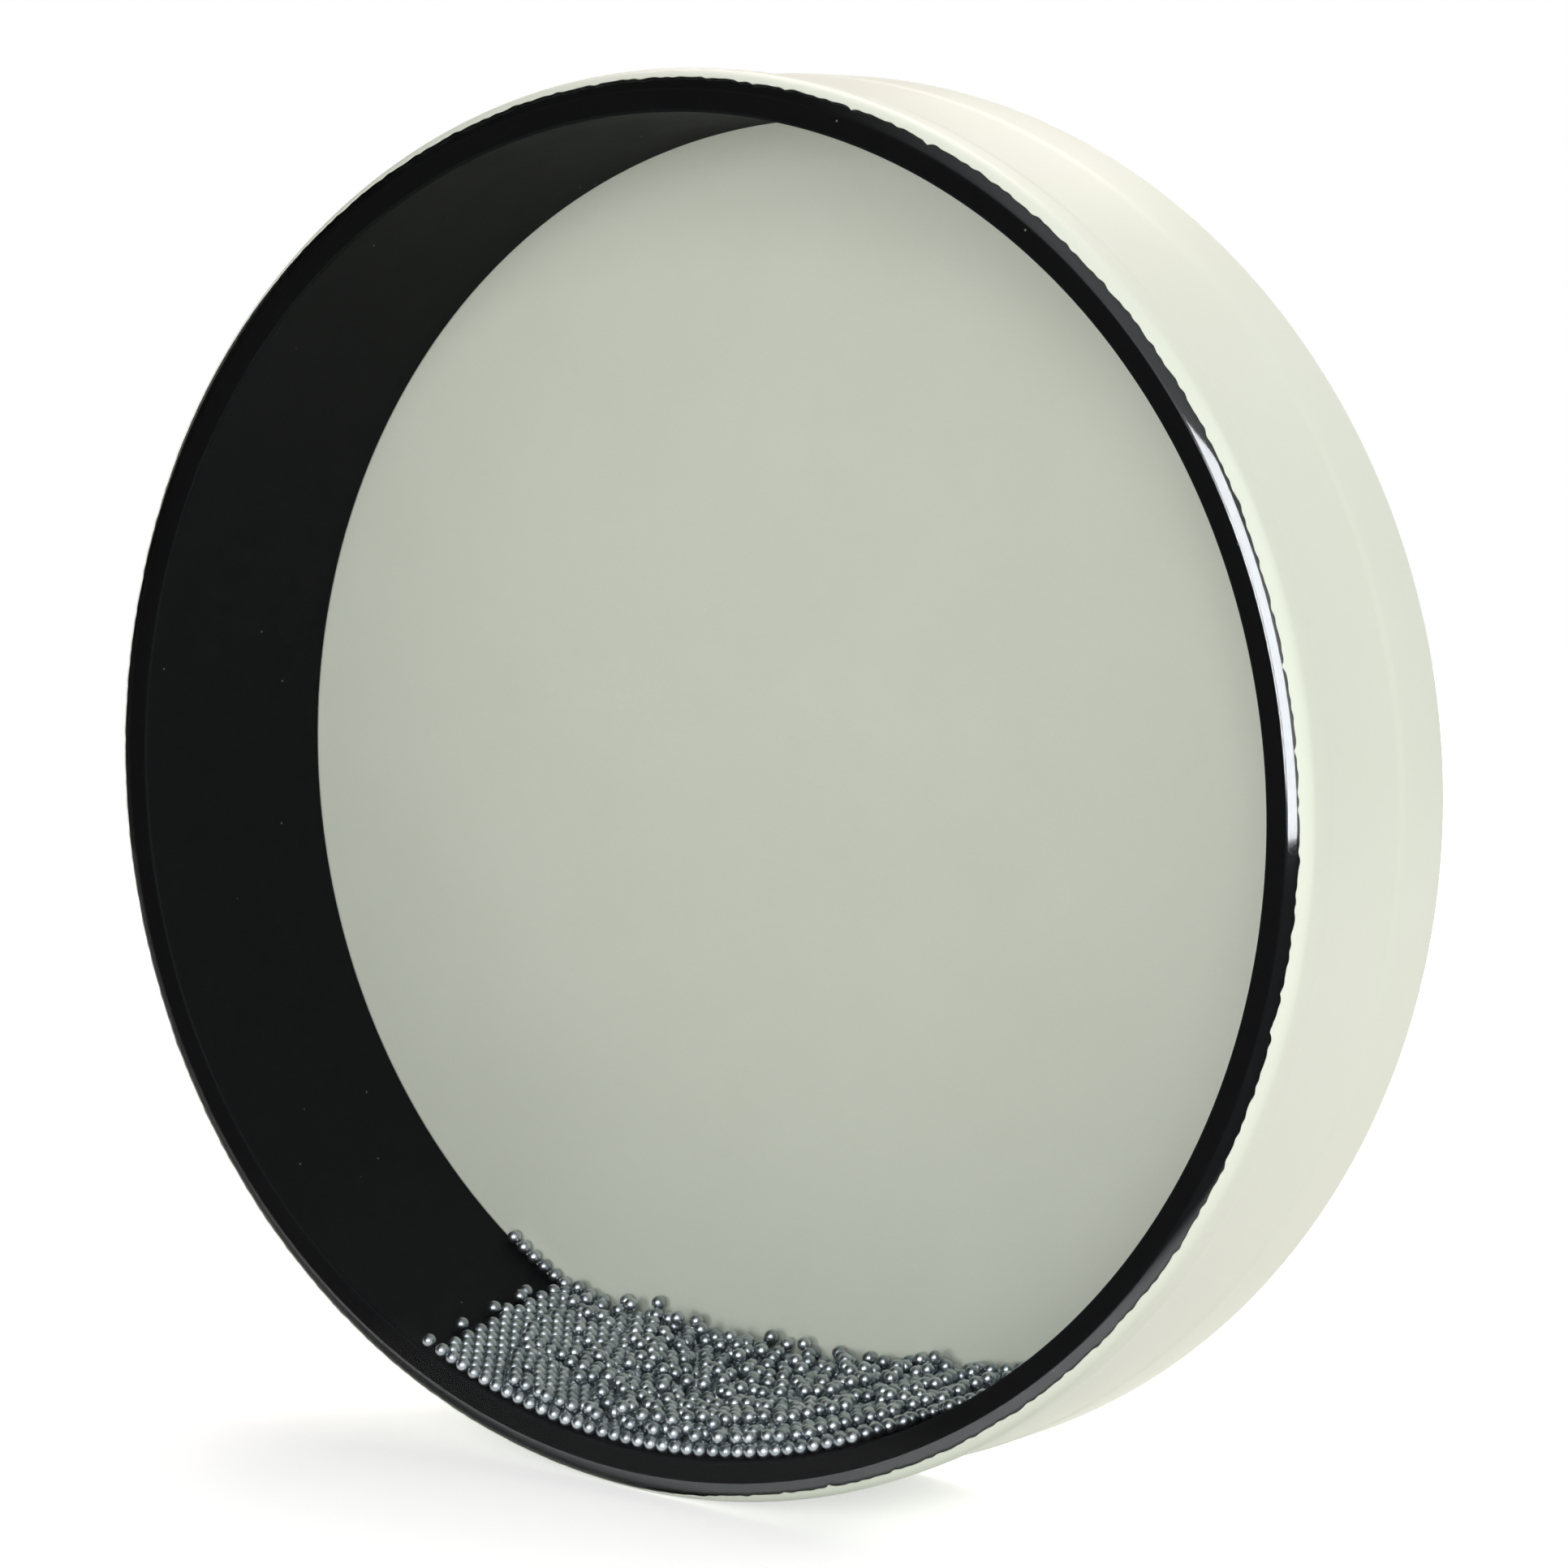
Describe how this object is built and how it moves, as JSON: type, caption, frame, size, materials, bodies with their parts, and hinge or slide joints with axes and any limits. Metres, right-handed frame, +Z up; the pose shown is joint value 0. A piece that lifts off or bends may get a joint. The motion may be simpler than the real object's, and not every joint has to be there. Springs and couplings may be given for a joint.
{
  "type": "ocean drum",
  "caption": "Shallow round frame drum with a clear front head, an opaque cream back head and a cream wrapped wall; loose steel balls roll inside it with a surf-like sound.",
  "frame": {"origin": "centre of the drum: on its axis, halfway between the outer faces of the two heads", "axes": "+Y along the drum's axis from the clear head to the opaque head, +Z up with the drum standing on its rim, +X to the right as seen from the clear head"},
  "size_m": [0.3048, 0.0636, 0.3048],
  "materials": {
    "hoop_black": "matte",
    "clear_film": "gloss",
    "cream_film": "satin",
    "cream_wrap": "satin",
    "ball_steel": "polished",
    "heap_steel": "satin"
  },
  "bodies": {
    "drum": {"shell": "hoop_black", "clear_head": "clear_film", "back_head": "cream_film", "outer_wrap": "cream_wrap"},
    "ball_charge": {"ball_bed": "heap_steel", "corner_ball_01": "ball_steel", "corner_ball_02": "ball_steel", "corner_ball_03": "ball_steel", "corner_ball_04": "ball_steel", "corner_ball_05": "ball_steel", "top_ball_01": "ball_steel", "top_ball_02": "ball_steel", "top_ball_03": "ball_steel", "top_ball_04": "ball_steel", "top_ball_05": "ball_steel", "top_ball_06": "ball_steel", "top_ball_07": "ball_steel", "top_ball_08": "ball_steel", "top_ball_09": "ball_steel", "top_ball_10": "ball_steel", "top_ball_11": "ball_steel", "top_ball_12": "ball_steel", "top_ball_13": "ball_steel", "top_ball_14": "ball_steel", "top_ball_15": "ball_steel", "top_ball_16": "ball_steel", "top_ball_17": "ball_steel", "top_ball_18": "ball_steel", "top_ball_19": "ball_steel", "top_ball_20": "ball_steel", "top_ball_21": "ball_steel", "top_ball_22": "ball_steel", "top_ball_23": "ball_steel", "top_ball_24": "ball_steel"},
    "rolling_ball_01": {"rolling_ball_01": "ball_steel"},
    "rolling_ball_02": {"rolling_ball_02": "ball_steel"},
    "rolling_ball_03": {"rolling_ball_03": "ball_steel"},
    "rolling_ball_04": {"rolling_ball_04": "ball_steel"},
    "rolling_ball_05": {"rolling_ball_05": "ball_steel"},
    "rolling_ball_06": {"rolling_ball_06": "ball_steel"},
    "rolling_ball_07": {"rolling_ball_07": "ball_steel"},
    "rolling_ball_08": {"rolling_ball_08": "ball_steel"}
  },
  "joints": [
    {"name": "charge_roll", "type": "hinge", "parent": "drum", "child": "ball_charge", "pos_m": [0, 0, 0], "axis": [0, 1, 0], "continuous": true},
    {"name": "ball_roll_01", "type": "hinge", "parent": "ball_charge", "child": "rolling_ball_01", "pos_m": [0, 0, 0], "axis": [0, 1, 0], "range_deg": [0, 310.5]},
    {"name": "ball_roll_02", "type": "hinge", "parent": "ball_charge", "child": "rolling_ball_02", "pos_m": [0, 0, 0], "axis": [0, -1, 0], "range_deg": [0, 309.6]},
    {"name": "ball_roll_03", "type": "hinge", "parent": "ball_charge", "child": "rolling_ball_03", "pos_m": [0, 0, 0], "axis": [0, 1, 0], "range_deg": [0, 308.6]},
    {"name": "ball_roll_04", "type": "hinge", "parent": "ball_charge", "child": "rolling_ball_04", "pos_m": [0, 0, 0], "axis": [0, -1, 0], "range_deg": [0, 307.6]},
    {"name": "ball_roll_05", "type": "hinge", "parent": "ball_charge", "child": "rolling_ball_05", "pos_m": [0, 0, 0], "axis": [0, 1, 0], "range_deg": [0, 306.7]},
    {"name": "ball_roll_06", "type": "hinge", "parent": "ball_charge", "child": "rolling_ball_06", "pos_m": [0, 0, 0], "axis": [0, -1, 0], "range_deg": [0, 305.7]},
    {"name": "ball_roll_07", "type": "hinge", "parent": "ball_charge", "child": "rolling_ball_07", "pos_m": [0, 0, 0], "axis": [0, 1, 0], "range_deg": [0, 304.8]},
    {"name": "ball_roll_08", "type": "hinge", "parent": "ball_charge", "child": "rolling_ball_08", "pos_m": [0, 0, 0], "axis": [0, -1, 0], "range_deg": [0, 303.8]}
  ]
}
